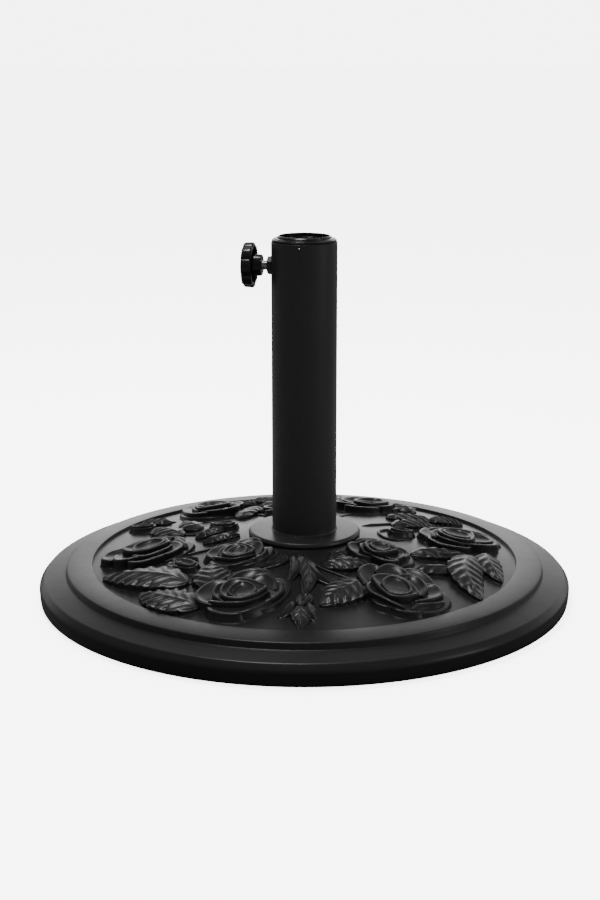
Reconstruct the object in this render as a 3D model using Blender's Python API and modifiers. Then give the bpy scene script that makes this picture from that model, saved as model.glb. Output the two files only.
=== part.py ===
"""Parasol base: a round moulded cover over a cement core, and a steel sleeve with a clamp knob.

Metres, +Z up. The origin is at the centre of the base, on the floor. The knob points along -X.
"""

import math

import bmesh
import bpy
from mathutils import Matrix, Vector

MM = 0.001
TURN = 2.0 * math.pi
CLAMP_WAY = math.pi  # compass angle of the clamp
RIVET_WAYS = {"front": -math.pi / 2.0, "back": math.pi / 2.0}

# Clearances
GAP = 0.3 * MM  # between pieces that touch
EASY_FIT = 0.5 * MM  # radial, round a fastener that passes through a hole
RELIEF_CLEARANCE = 1.0 * MM  # between the flange's rim and the roses and leaves

# The base
BASE_RADIUS = 225.0 * MM
SHELL_WALL = 3.0 * MM
SHELL_LIFT = 1.5 * MM  # from the floor to the shell's lower edge
EDGE_HEIGHT = 18.5 * MM  # top of the outer edge
EDGE_ROUND = 4.0 * MM
EDGE_DRAFT = 1.0 * MM  # how much the wall leans in towards the floor
RING_WIDTH = 19.8 * MM  # from the outer edge to the crease
CREASE_HEIGHT = 22.0 * MM
RISER_WIDTH = 8.7 * MM  # from the crease to the inner band
BAND_WIDTH = 17.0 * MM
BAND_HEIGHT = 28.5 * MM
FIELD_STEP = 1.6 * MM  # how far the field lies below the band
SEAT_HEIGHT = 49.5 * MM  # top of the flat that the flange stands on
SEAT_MARGIN = 2.5 * MM  # how far that flat runs past the flange

# Underneath
COVER_UNDERSIDE = 3.0 * MM
COVER_THICKNESS = 2.0 * MM
RECESS_RADIUS = 20.0 * MM  # of the well that the bolt's head sits in
RECESS_CEILING = 20.0 * MM
PAD_COUNT = 6
PAD_RADIUS = 13.0 * MM
PAD_INSET = 30.0 * MM  # from the base's edge to a pad's middle

# The centre bolt, M10
BOLT_RADIUS = 5.0 * MM
BOLT_ACROSS_FLATS = 17.0 * MM
BOLT_HEAD = 6.4 * MM
BOLT_END = 2.0 * MM  # how far it stands out of its nut
WASHER_RADIUS = 15.0 * MM
WASHER_THICKNESS = 2.5 * MM
SPRING_WASHER_RADIUS = 8.5 * MM
SPRING_WASHER_SLOT = 2.0 * MM
CENTRE_NUT_HEIGHT = 8.0 * MM

# The flange plate
FLANGE_RADIUS = 47.5 * MM
FLANGE_HEIGHT = 3.7 * MM
FLANGE_SHEET = 2.0 * MM
FLANGE_ROLL = 4.5 * MM  # width of its rolled rim
POLE_SEAT_RISE = 0.6 * MM  # of the pressed ring that the pole stands on
NUT_ROOM = 1.0 * MM  # from the centre nut's corners to that ring

# The pole sleeve
SLEEVE_RADIUS = 27.2 * MM
SLEEVE_WALL = 1.5 * MM
SLEEVE_TOP = 298.0 * MM
BEAD_WIDTH = 1.4 * MM
BEAD_SWELL = 0.7  # how far out the weld bead's middle stands, as a share of its width

# The collar in the sleeve's mouth
COLLAR_SETBACK = 0.6 * MM  # how far its edge lies inside the sleeve's wall
COLLAR_STAND = 5.0 * MM  # how far it stands out of the sleeve
COLLAR_SKIRT = 40.0 * MM  # how far it reaches into the sleeve
MOUTH_RADIUS = 20.6 * MM
MOUTH_DEPTH = 3.5 * MM
MOUTH_CHAMFER = 0.4 * MM
LIP_WIDTH = 1.0 * MM  # from the mouth to the collar's highest line
CROWN_FALL = 3.6 * MM  # from there down to the collar's outer edge
BORE_RADIUS = 19.6 * MM
RIVET_RADIUS = 1.2 * MM
RIVET_HEAD_RADIUS = 1.7 * MM
RIVET_HEAD_HEIGHT = 0.8 * MM
RIVET_DROP = 3.0 * MM  # below the sleeve's top
RIVET_BACK = 1.5 * MM  # how far behind the collar's bore it ends

# The clamp, M8. Places along its axis are measured from the sleeve's own axis.
CLAMP_DROP = 20.0 * MM  # from the sleeve's top to the clamp's axis
STUD_RADIUS = 4.0 * MM
CLAMP_NUT_ACROSS_FLATS = 13.0 * MM
CLAMP_NUT_OUT = 3.2 * MM  # from the sleeve's wall to the nut's outer face
CLAMP_NUT_IN = 1.5 * MM  # how far its corners reach round the sleeve
KNOB_AWAY = 4.6 * MM  # from the nut to the hub, at rest
HUB_RADIUS = 9.5 * MM
HUB_NOSE_RADIUS = 7.5 * MM
HUB_LENGTH = 6.5 * MM  # from its end to the rim
RIM_THICKNESS = 8.8 * MM
RIM_RADIUS = 19.5 * MM
RIM_WALL = 3.6 * MM
RIM_HOLLOW = 6.0 * MM  # depth of the hollow on the rim's inner face
RIM_BEVEL = 1.2 * MM
KNOB_LOBES = 8
LOBE_DEPTH = 1.6 * MM
LOBE_FULLNESS = 0.7  # under 1 makes the lobes broad and the dips narrow
LOBE_POINTS = 8
KNOB_FACE = 3.0 * MM  # what is left between the stud's end and the knob's outer face
TIP_BACK = 1.4 * MM  # how far behind the collar's bore the stud's tip rests
TIP_SETBACK = 0.5 * MM  # from the stud's radius to the tip's
TIP_LENGTH = 5.0 * MM
TIP_WALL = 1.2 * MM
NOSE_LENGTH = 3.0 * MM

# The relief: angle in degrees round the base, share of the way from the flange to the field's
# edge, radius of the rose
ROSE_HEIGHT = 9.5 * MM
PETAL_SHARE = 0.75  # height of a rose's petals against its bud
BUD_SHARE = 0.55  # width of the bud against the whole rose
PETAL_WAVE = 0.06  # depth of the dips between petals against the rose's radius
ROSES = (
    (-103.0, 0.65, 30.0 * MM),
    (-48.0, 0.65, 30.0 * MM),
    (14.0, 0.65, 30.0 * MM),
    (73.0, 0.65, 30.0 * MM),
    (134.0, 0.65, 30.0 * MM),
    (-168.0, 0.65, 30.0 * MM),
    (-126.0, 0.19, 23.0 * MM),
    (-26.0, 0.19, 23.0 * MM),
    (104.0, 0.19, 23.0 * MM),
)
# Angle and share of a leaf's middle, the way its tip points, its length and its width
LEAF_HEIGHT = 6.5 * MM
LEAF_PINCH = 0.35  # how much narrower a leaf is towards its ends
RELIEF_SINK = 1.6 * MM  # how far the relief reaches into the shell's wall
LEAVES = (
    (-121.0, 0.88, 141.0, 66.0 * MM, 34.0 * MM),
    (-138.0, 0.78, 158.0, 84.0 * MM, 34.0 * MM),
    (-124.0, 0.48, 122.0, 48.0 * MM, 30.0 * MM),
    (-146.0, 0.50, 100.0, 40.0 * MM, 20.0 * MM),
    (-67.0, 0.58, -112.0, 58.0 * MM, 30.0 * MM),
    (-78.0, 0.28, -75.0, 44.0 * MM, 26.0 * MM),
    (-83.0, 0.77, -70.0, 40.0 * MM, 26.0 * MM),
    (-62.0, 0.17, 30.0, 38.0 * MM, 24.0 * MM),
    (-16.0, 0.83, -85.0, 84.0 * MM, 32.0 * MM),
    (-4.0, 0.87, -70.0, 50.0 * MM, 22.0 * MM),
    (-8.0, 0.53, 35.0, 46.0 * MM, 22.0 * MM),
    (-26.0, 0.52, -150.0, 34.0 * MM, 18.0 * MM),
    (29.0, 0.30, 60.0, 50.0 * MM, 24.0 * MM),
    (44.0, 0.66, 130.0, 60.0 * MM, 30.0 * MM),
    (53.0, 0.28, 160.0, 46.0 * MM, 24.0 * MM),
    (88.0, 0.60, 100.0, 40.0 * MM, 22.0 * MM),
    (103.0, 0.72, 20.0, 66.0 * MM, 32.0 * MM),
    (118.0, 0.55, -160.0, 40.0 * MM, 24.0 * MM),
    (160.0, 0.60, 80.0, 50.0 * MM, 26.0 * MM),
    (152.0, 0.26, 10.0, 44.0 * MM, 24.0 * MM),
    (178.0, 0.24, -60.0, 40.0 * MM, 20.0 * MM),
    (-158.0, 0.16, -50.0, 34.0 * MM, 20.0 * MM),
)
RELIEF_TAPER = 0.86  # width of a rose's or leaf's top against its foot

ROUND = 64  # sides of the large round pieces
SMALL_ROUND = 24  # sides of the small ones
TINY_ROUND = 12  # sides of the rivets
ROSE_SIDES = 20
BUD_SIDES = 10
LEAF_SIDES = 12
SHARP_ANGLE = math.radians(35.0)  # edges sharper than this stay crisp

# What follows from the sizes above
CREASE_RADIUS = BASE_RADIUS - RING_WIDTH
BAND_RADIUS = CREASE_RADIUS - RISER_WIDTH
FIELD_RADIUS = BAND_RADIUS - BAND_WIDTH
FIELD_EDGE_HEIGHT = BAND_HEIGHT - FIELD_STEP
SEAT_RADIUS = FLANGE_RADIUS + SEAT_MARGIN
CORE_UNDERSIDE = COVER_UNDERSIDE + COVER_THICKNESS + GAP
FLANGE_UNDERSIDE = SEAT_HEIGHT + GAP
FLANGE_TOP = FLANGE_UNDERSIDE + FLANGE_HEIGHT
BOLT_HOLE = BOLT_RADIUS + EASY_FIT
SLEEVE_FOOT = FLANGE_TOP + GAP
SLEEVE_BORE = SLEEVE_RADIUS - SLEEVE_WALL
COLLAR_RADIUS = SLEEVE_RADIUS - COLLAR_SETBACK
COLLAR_TOP = SLEEVE_TOP + COLLAR_STAND
SKIRT_RADIUS = SLEEVE_BORE - GAP
CLAMP_HEIGHT = SLEEVE_TOP - CLAMP_DROP
NUT_FACE = SLEEVE_RADIUS + CLAMP_NUT_OUT
HUB_END = NUT_FACE + KNOB_AWAY
RIM_INNER_FACE = HUB_END + HUB_LENGTH
KNOB_END = RIM_INNER_FACE + RIM_THICKNESS
TIP_RADIUS = STUD_RADIUS - TIP_SETBACK
TIP_END = BORE_RADIUS + TIP_BACK
STUD_SHOULDER = TIP_END + TIP_LENGTH + GAP
STUD_END = KNOB_END - KNOB_FACE


def clear_scene():
    for obj in list(bpy.data.objects):
        bpy.data.objects.remove(obj, do_unlink=True)


def new_collection(name):
    made = bpy.data.collections.new(name)
    bpy.context.scene.collection.children.link(made)
    return made


def new_material(name, colour, roughness, metallic=0.0):
    made = bpy.data.materials.new(name)
    made.use_nodes = True
    shader = made.node_tree.nodes["Principled BSDF"]
    shader.inputs["Base Color"].default_value = (*colour, 1.0)
    shader.inputs["Roughness"].default_value = roughness
    shader.inputs["Metallic"].default_value = metallic
    return made


def add_object(name, mesh, group):
    made = bpy.data.objects.new(name, mesh)
    group.objects.link(made)
    if group == helpers:
        made.hide_render = True
        made.display_type = "WIRE"
    return made


def dress(obj, finish):
    obj.data.materials.append(finish)
    obj.data.shade_smooth()
    obj.data.set_sharp_from_angle(angle=SHARP_ANGLE)


def mesh_from(bm, name):
    mesh = bpy.data.meshes.new(name)
    bm.to_mesh(mesh)
    bm.free()
    return mesh


def turned(name, profile, group, steps=ROUND):
    """A closed outline of (radius, height) points turned round the vertical axis."""
    mesh = bpy.data.meshes.new(name)
    points = [(radius, 0.0, height) for radius, height in profile]
    edges = [(i, (i + 1) % len(points)) for i in range(len(points))]
    mesh.from_pydata(points, edges, [])
    made = add_object(name, mesh, group)
    screw = made.modifiers.new("turned", "SCREW")
    screw.axis = "Z"
    screw.steps = steps
    screw.render_steps = steps
    screw.use_merge_vertices = True
    screw.merge_threshold = 0.00001
    return made


def solid_mesh(obj):
    """The object's shape with its modifiers applied, as a new mesh."""
    graph = bpy.context.evaluated_depsgraph_get()
    return bpy.data.meshes.new_from_object(obj.evaluated_get(graph))


def rod(name, radius, low, high, group, sides=SMALL_ROUND, top_radius=None):
    """An upright round or many-sided bar from one height to another."""
    bm = bmesh.new()
    top = radius if top_radius is None else top_radius
    bmesh.ops.create_cone(
        bm, cap_ends=True, segments=sides, radius1=radius, radius2=top, depth=high - low
    )
    bmesh.ops.translate(bm, verts=bm.verts, vec=(0.0, 0.0, (low + high) / 2.0))
    return add_object(name, mesh_from(bm, name), group)


def combine(target, other, operation):
    step = target.modifiers.new(operation.lower(), "BOOLEAN")
    step.operation = operation
    step.object = other
    step.solver = "EXACT"


def across_corners(across_flats):
    return across_flats / math.sqrt(3.0)


def arc(centre, radius, start, end, count):
    """Points on a round corner, from one angle to another, both in degrees."""
    angles = [math.radians(start + (end - start) * i / count) for i in range(count + 1)]
    return [(centre[0] + radius * math.cos(a), centre[1] + radius * math.sin(a)) for a in angles]


def rounded_fall(inner, outer, top, foot, count):
    """Points on a quarter ellipse from its flat top to just above its steep foot."""
    angles = [math.pi / 2.0 * i / count for i in range(1, count)]
    return [
        (inner + (outer - inner) * math.sin(a), foot + (top - foot) * math.cos(a)) for a in angles
    ]


def inset(outline, distance):
    """An outline that runs outwards and then down, moved inwards with its corners kept sharp."""
    lines = []
    for (x0, z0), (x1, z1) in zip(outline, outline[1:]):
        along = Vector((x1 - x0, z1 - z0)).normalized()
        inward = Vector((along.y, -along.x))
        lines.append((Vector((x0, z0)) + inward * distance, along))
    moved = [lines[0][0]]
    for (start, along), (other_start, other_along) in zip(lines, lines[1:]):
        inward = Vector((other_along.y, -other_along.x))
        share = (other_start - start).dot(inward) / along.dot(inward)
        moved.append(start + along * share)
    last_start, last_along = lines[-1]
    reach = (Vector(outline[-1]) - last_start).dot(last_along)
    moved.append(last_start + last_along * reach)
    return [(point.x, point.y) for point in moved]


# The base


def plain_outline():
    """The shell's outer lines from the bolt hole out to its lower edge, before any rounding."""
    return [
        (BOLT_HOLE, SEAT_HEIGHT),
        (SEAT_RADIUS, SEAT_HEIGHT),
        (FIELD_RADIUS, FIELD_EDGE_HEIGHT),
        (BAND_RADIUS, BAND_HEIGHT),
        (CREASE_RADIUS, CREASE_HEIGHT),
        (BASE_RADIUS - EDGE_ROUND, EDGE_HEIGHT),
        (BASE_RADIUS, EDGE_HEIGHT - EDGE_ROUND),
        (BASE_RADIUS - EDGE_DRAFT, SHELL_LIFT),
    ]


def shell_outline():
    """The shell's outer lines with the field's step, the band's shoulder and the rounded edge."""
    shoulder = (BAND_RADIUS - EDGE_ROUND / 2.0, BAND_HEIGHT - EDGE_ROUND)
    edge = (BASE_RADIUS - EDGE_ROUND, EDGE_HEIGHT - EDGE_ROUND)
    return [
        (BOLT_HOLE, SEAT_HEIGHT),
        (SEAT_RADIUS, SEAT_HEIGHT),
        (FIELD_RADIUS, FIELD_EDGE_HEIGHT),
        (FIELD_RADIUS + FIELD_STEP / 2.0, BAND_HEIGHT),
        *arc(shoulder, EDGE_ROUND, 90.0, 40.0, 3),
        (CREASE_RADIUS, CREASE_HEIGHT),
        *arc(edge, EDGE_ROUND, 85.0, 0.0, 4),
        (BASE_RADIUS - EDGE_DRAFT, SHELL_LIFT),
    ]


def field_height(radius):
    share = (radius - SEAT_RADIUS) / (FIELD_RADIUS - SEAT_RADIUS)
    slope = SEAT_HEIGHT + (FIELD_EDGE_HEIGHT - SEAT_HEIGHT) * share
    return min(slope, SEAT_HEIGHT)


def on_field(angle, share, turn):
    """Stands a piece of relief on the sloping field, square to its surface."""
    start = FLANGE_RADIUS + RELIEF_CLEARANCE
    radius = start + (FIELD_RADIUS - start) * share
    lean = math.atan2(SEAT_HEIGHT - FIELD_EDGE_HEIGHT, FIELD_RADIUS - SEAT_RADIUS)
    spot = Matrix.Rotation(math.radians(angle), 4, "Z")
    spot = spot @ Matrix.Translation((radius, 0.0, field_height(radius)))
    spot = spot @ Matrix.Rotation(lean, 4, "Y")
    return spot @ Matrix.Rotation(math.radians(turn - angle), 4, "Z")


def tapered_block(name, outline, sides, height):
    """A low solid whose foot follows outline(angle), and whose top is drawn in."""
    bm = bmesh.new()
    bmesh.ops.create_cone(
        bm, cap_ends=True, segments=sides, radius1=1.0, radius2=1.0, depth=height + RELIEF_SINK
    )
    for vert in bm.verts:
        x, y = outline(math.atan2(vert.co.y, vert.co.x))
        shrink = RELIEF_TAPER if vert.co.z > 0.0 else 1.0
        vert.co = Vector((x * shrink, y * shrink, vert.co.z + (height - RELIEF_SINK) / 2.0))
    return mesh_from(bm, name)


def petal_outline(size):
    def outline(angle):
        reach = size * (1.0 - PETAL_WAVE + PETAL_WAVE * math.cos(5.0 * angle))
        return reach * math.cos(angle), reach * math.sin(angle)

    return outline


def leaf_outline(length, width):
    def outline(angle):
        pinch = 1.0 - LEAF_PINCH * math.cos(angle) ** 2
        return length / 2.0 * math.cos(angle), width / 2.0 * math.sin(angle) * pinch

    return outline


def add_raised(name, mesh, place):
    made = add_object(name, mesh, helpers)
    made.matrix_world = place
    relief.objects.link(made)


def add_relief():
    """Every rose and leaf, in the collection that the shell is joined with."""
    petals_height = ROSE_HEIGHT * PETAL_SHARE
    for count, (angle, share, size) in enumerate(ROSES, 1):
        place = on_field(angle, share, angle)
        petals = tapered_block("petals", petal_outline(size), ROSE_SIDES, petals_height)
        bud = tapered_block("bud", petal_outline(size * BUD_SHARE), BUD_SIDES, ROSE_HEIGHT)
        add_raised(f"rose_{count}_petals", petals, place)
        add_raised(f"rose_{count}_bud", bud, place)
    for count, (angle, share, turn, length, width) in enumerate(LEAVES, 1):
        leaf = tapered_block("leaf", leaf_outline(length, width), LEAF_SIDES, LEAF_HEIGHT)
        add_raised(f"leaf_{count}", leaf, on_field(angle, share, turn))


def add_shell():
    inner = inset(plain_outline(), SHELL_WALL)
    shell = turned("base_shell", shell_outline() + inner[::-1], parts)
    add_relief()
    join = shell.modifiers.new("relief", "BOOLEAN")
    join.operation = "UNION"
    join.operand_type = "COLLECTION"
    join.collection = relief
    join.solver = "EXACT"
    room = rod(
        "flange_room",
        FLANGE_RADIUS + RELIEF_CLEARANCE,
        SEAT_HEIGHT + GAP / 3.0,
        SEAT_HEIGHT + 2.0 * ROSE_HEIGHT,
        helpers,
        sides=ROUND,
    )
    combine(shell, room, "DIFFERENCE")
    dress(shell, black_cover)


def add_core():
    outline = inset(plain_outline(), SHELL_WALL + GAP)
    outline[-1] = (outline[-1][0], CORE_UNDERSIDE)
    well = [
        (RECESS_RADIUS, CORE_UNDERSIDE),
        (RECESS_RADIUS, RECESS_CEILING),
        (BOLT_HOLE, RECESS_CEILING),
    ]
    dress(turned("ballast_core", outline + well, parts), cement)


def add_bottom_cover():
    rim = BASE_RADIUS - EDGE_DRAFT - SHELL_WALL - GAP
    top = COVER_UNDERSIDE + COVER_THICKNESS
    profile = [
        (RECESS_RADIUS, top),
        (rim, top),
        (rim, COVER_UNDERSIDE),
        (RECESS_RADIUS, COVER_UNDERSIDE),
    ]
    dress(turned("bottom_cover", profile, parts), black_cover)


def add_foot_pads():
    circle = BASE_RADIUS - PAD_INSET
    for count in range(PAD_COUNT):
        angle = TURN * (count + 0.5) / PAD_COUNT
        pad = rod(f"foot_pad_{count + 1}", PAD_RADIUS, 0.0, COVER_UNDERSIDE - GAP, parts)
        pad.location = (circle * math.cos(angle), circle * math.sin(angle), 0.0)
        dress(pad, rubber)


# The centre bolt and what it holds


def add_ring(name, radius, hole, low, high, finish, steps=SMALL_ROUND):
    made = turned(name, [(hole, high), (radius, high), (radius, low), (hole, low)], parts, steps)
    dress(made, finish)
    return made


def add_centre_bolt():
    washer_top = RECESS_CEILING - GAP
    washer_foot = washer_top - WASHER_THICKNESS
    spring_top = washer_foot - GAP
    spring_foot = spring_top - WASHER_THICKNESS
    head_top = spring_foot - GAP
    head_foot = head_top - BOLT_HEAD
    add_ring("plain_washer", WASHER_RADIUS, BOLT_HOLE, washer_foot, washer_top, zinc)
    spring = add_ring(
        "spring_washer", SPRING_WASHER_RADIUS, BOLT_HOLE, spring_foot, spring_top, zinc
    )
    slot = lying_rod(
        "spring_slot",
        SPRING_WASHER_SLOT,
        BOLT_RADIUS,
        2.0 * SPRING_WASHER_RADIUS,
        (spring_foot + spring_top) / 2.0,
        0.0,
        helpers,
        4,
    )
    combine(spring, slot, "DIFFERENCE")
    bolt = rod(
        "centre_bolt",
        across_corners(BOLT_ACROSS_FLATS),
        head_foot,
        head_top,
        parts,
        sides=6,
    )
    shank_end = SLEEVE_FOOT + CENTRE_NUT_HEIGHT + BOLT_END
    shank = rod("bolt_shank", BOLT_RADIUS, head_foot + GAP, shank_end, helpers)
    combine(bolt, shank, "UNION")
    dress(bolt, zinc)


def add_centre_nut():
    foot = SLEEVE_FOOT
    corners = across_corners(BOLT_ACROSS_FLATS)
    nut = rod("centre_nut", corners, foot, foot + CENTRE_NUT_HEIGHT, parts, sides=6)
    hole = rod("centre_nut_hole", BOLT_RADIUS + GAP, 0.0, SLEEVE_TOP, helpers)
    combine(nut, hole, "DIFFERENCE")
    dress(nut, zinc)


# The flange, the sleeve and its collar


def add_flange():
    """A pressed plate whose rim rolls down onto the shell, with a ring that the pole stands on.

    The ring also centres the sleeve for welding.
    """
    flat = FLANGE_RADIUS - FLANGE_ROLL
    seat_inner = across_corners(BOLT_ACROSS_FLATS) + NUT_ROOM
    seat_outer = SLEEVE_BORE - EASY_FIT
    profile = [
        (BOLT_HOLE, FLANGE_TOP),
        (seat_inner, FLANGE_TOP),
        (seat_inner, FLANGE_TOP + POLE_SEAT_RISE),
        (seat_outer, FLANGE_TOP + POLE_SEAT_RISE),
        (seat_outer, FLANGE_TOP),
        (flat, FLANGE_TOP),
        *rounded_fall(flat, FLANGE_RADIUS, FLANGE_TOP, FLANGE_UNDERSIDE, 6),
        (FLANGE_RADIUS, FLANGE_UNDERSIDE),
        (FLANGE_RADIUS - FLANGE_SHEET, FLANGE_UNDERSIDE),
        (flat - GAP, FLANGE_TOP - FLANGE_SHEET),
        (BOLT_HOLE, FLANGE_TOP - FLANGE_SHEET),
    ]
    dress(turned("flange_plate", profile, parts), black_steel)


def lying_rod(name, radius, start, end, height, way, group, sides=SMALL_ROUND, top_radius=None):
    """A bar that lies square to the sleeve, at this height, along the given compass angle."""
    made = rod(name, radius, start, end, group, sides, top_radius)
    made.data.transform(Matrix.Rotation(math.radians(90.0), 4, "Y"))
    made.matrix_world = Matrix.Translation((0.0, 0.0, height)) @ Matrix.Rotation(way, 4, "Z")
    return made


def add_sleeve():
    profile = [
        (SLEEVE_BORE, SLEEVE_TOP),
        (SLEEVE_RADIUS, SLEEVE_TOP),
        (SLEEVE_RADIUS, SLEEVE_FOOT + BEAD_WIDTH),
        (SLEEVE_RADIUS + BEAD_WIDTH * BEAD_SWELL, SLEEVE_FOOT + BEAD_WIDTH * BEAD_SWELL),
        (SLEEVE_RADIUS + BEAD_WIDTH, SLEEVE_FOOT),
        (SLEEVE_BORE, SLEEVE_FOOT),
    ]
    sleeve = turned("pole_sleeve", profile, parts)
    cut_side_holes(sleeve, "sleeve")
    dress(sleeve, black_steel)


def cut_side_holes(target, name):
    """The clamp's hole and the two rivets' holes."""
    reach = 2.0 * SLEEVE_RADIUS
    clamp = lying_rod(
        f"{name}_clamp_hole", STUD_RADIUS + EASY_FIT, 0.0, reach, CLAMP_HEIGHT, CLAMP_WAY, helpers
    )
    combine(target, clamp, "DIFFERENCE")
    for side, way in RIVET_WAYS.items():
        hole = lying_rod(
            f"{name}_rivet_hole_{side}",
            RIVET_RADIUS + GAP,
            0.0,
            reach,
            SLEEVE_TOP - RIVET_DROP,
            way,
            helpers,
            TINY_ROUND,
        )
        combine(target, hole, "DIFFERENCE")


def add_collar():
    crown = MOUTH_RADIUS + LIP_WIDTH
    profile = [
        (MOUTH_RADIUS, COLLAR_TOP - MOUTH_CHAMFER),
        (crown, COLLAR_TOP),
        *rounded_fall(crown, COLLAR_RADIUS, COLLAR_TOP, COLLAR_TOP - CROWN_FALL, 5),
        (COLLAR_RADIUS, SLEEVE_TOP + GAP),
        (SKIRT_RADIUS, SLEEVE_TOP + GAP),
        (SKIRT_RADIUS, SLEEVE_TOP - COLLAR_SKIRT),
        (BORE_RADIUS, SLEEVE_TOP - COLLAR_SKIRT),
        (BORE_RADIUS, COLLAR_TOP - MOUTH_DEPTH),
        (MOUTH_RADIUS, COLLAR_TOP - MOUTH_DEPTH),
    ]
    collar = turned("collar_insert", profile, parts)
    cut_side_holes(collar, "collar")
    dress(collar, black_plastic)


def add_rivets():
    """Each holds the collar's skirt to the sleeve, and stops short of the bore."""
    for side, way in RIVET_WAYS.items():
        height = SLEEVE_TOP - RIVET_DROP
        face = SLEEVE_RADIUS + GAP
        name = f"collar_rivet_{side}"
        head_end = face + RIVET_HEAD_HEIGHT
        rivet = lying_rod(name, RIVET_HEAD_RADIUS, face, head_end, height, way, parts, TINY_ROUND)
        shank = lying_rod(
            f"{name}_shank",
            RIVET_RADIUS,
            BORE_RADIUS + RIVET_BACK,
            head_end - GAP,
            height,
            way,
            helpers,
            TINY_ROUND,
        )
        combine(rivet, shank, "UNION")
        dress(rivet, black_steel)


# The clamp


def add_clamp_nut():
    corners = across_corners(CLAMP_NUT_ACROSS_FLATS)
    start = SLEEVE_RADIUS - CLAMP_NUT_IN
    nut = lying_rod("clamp_nut", corners, start, NUT_FACE, CLAMP_HEIGHT, CLAMP_WAY, parts, 6)
    hole = lying_rod(
        "clamp_nut_hole", STUD_RADIUS + GAP, 0.0, 2.0 * NUT_FACE, CLAMP_HEIGHT, CLAMP_WAY, helpers
    )
    saddle = rod("sleeve_saddle", SLEEVE_RADIUS + GAP, 0.0, COLLAR_TOP, helpers, sides=ROUND)
    combine(nut, hole, "DIFFERENCE")
    combine(nut, saddle, "DIFFERENCE")
    dress(nut, black_steel)


def add_stud():
    """Its nose turns inside the tip, which slides with it and doesn't turn."""
    stud = lying_rod(
        "clamp_stud", STUD_RADIUS, STUD_SHOULDER, STUD_END, CLAMP_HEIGHT, CLAMP_WAY, parts
    )
    nose = lying_rod(
        "stud_nose",
        TIP_RADIUS - TIP_WALL - GAP,
        STUD_SHOULDER - NOSE_LENGTH,
        STUD_SHOULDER + GAP,
        CLAMP_HEIGHT,
        CLAMP_WAY,
        helpers,
    )
    combine(stud, nose, "UNION")
    dress(stud, zinc)


def add_stud_tip():
    tip = lying_rod(
        "stud_tip", TIP_RADIUS, TIP_END, TIP_END + TIP_LENGTH, CLAMP_HEIGHT, CLAMP_WAY, parts
    )
    pocket = lying_rod(
        "tip_pocket",
        TIP_RADIUS - TIP_WALL,
        STUD_SHOULDER - NOSE_LENGTH - GAP,
        STUD_SHOULDER + GAP,
        CLAMP_HEIGHT,
        CLAMP_WAY,
        helpers,
    )
    combine(tip, pocket, "DIFFERENCE")
    dress(tip, black_plastic)


def lobed_disc(name, radius, start, end, group):
    """The grip's rim: an outline of rounded lobes, with its edges bevelled."""
    curve = bpy.data.curves.new(name, "CURVE")
    curve.dimensions = "2D"
    curve.fill_mode = "BOTH"
    curve.extrude = (end - start) / 2.0
    count = KNOB_LOBES * LOBE_POINTS
    spline = curve.splines.new("POLY")
    spline.points.add(count - 1)
    spline.use_cyclic_u = True
    for i, point in enumerate(spline.points):
        angle = TURN * i / count
        wave = abs(math.sin(KNOB_LOBES * angle / 2.0))
        reach = radius - LOBE_DEPTH * (1.0 - wave**LOBE_FULLNESS)
        point.co = (reach * math.cos(angle), reach * math.sin(angle), 0.0, 1.0)
    outline = bpy.data.objects.new(name + "_outline", curve)
    parts.objects.link(outline)
    bpy.context.view_layer.update()
    mesh = solid_mesh(outline)
    bpy.data.objects.remove(outline, do_unlink=True)
    bm = bmesh.new()
    bm.from_mesh(mesh)
    bmesh.ops.remove_doubles(bm, verts=bm.verts, dist=0.01 * MM)
    bmesh.ops.translate(bm, verts=bm.verts, vec=(0.0, 0.0, (start + end) / 2.0))
    made = add_object(name, mesh_from(bm, name), group)
    made.data.transform(Matrix.Rotation(math.radians(90.0), 4, "Y"))
    place = Matrix.Translation((0.0, 0.0, CLAMP_HEIGHT))
    made.matrix_world = place @ Matrix.Rotation(CLAMP_WAY, 4, "Z")
    bevel = made.modifiers.new("rounded", "BEVEL")
    bevel.width = RIM_BEVEL
    bevel.segments = 2
    bevel.limit_method = "ANGLE"
    bevel.angle_limit = math.radians(60.0)
    return made


def add_knob():
    knob = lobed_disc("knob", RIM_RADIUS, RIM_INNER_FACE, KNOB_END, parts)
    hollow_end = RIM_INNER_FACE + RIM_HOLLOW
    hollow = lying_rod(
        "knob_hollow",
        RIM_RADIUS - LOBE_DEPTH - RIM_WALL,
        RIM_INNER_FACE - RIM_HOLLOW,
        hollow_end,
        CLAMP_HEIGHT,
        CLAMP_WAY,
        helpers,
    )
    hub = lying_rod(
        "knob_hub",
        HUB_NOSE_RADIUS,
        HUB_END,
        hollow_end + GAP,
        CLAMP_HEIGHT,
        CLAMP_WAY,
        helpers,
        top_radius=HUB_RADIUS,
    )
    socket = lying_rod(
        "knob_socket",
        STUD_RADIUS + GAP,
        0.0,
        STUD_END + GAP,
        CLAMP_HEIGHT,
        CLAMP_WAY,
        helpers,
    )
    combine(knob, hollow, "DIFFERENCE")
    combine(knob, hub, "UNION")
    combine(knob, socket, "DIFFERENCE")
    dress(knob, black_plastic)


clear_scene()
parts = new_collection("parasol_base")
helpers = new_collection("cutters")
relief = new_collection("relief")
helpers.hide_render = True
relief.hide_render = True

black_cover = new_material("black_cover", (0.018, 0.018, 0.018), 0.42)
black_steel = new_material("black_steel", (0.010, 0.010, 0.010), 0.38)
black_plastic = new_material("black_plastic", (0.012, 0.012, 0.012), 0.45)
cement = new_material("cement", (0.42, 0.40, 0.37), 0.95)
rubber = new_material("rubber", (0.03, 0.03, 0.03), 0.85)
zinc = new_material("zinc", (0.62, 0.63, 0.65), 0.3, 1.0)

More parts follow.
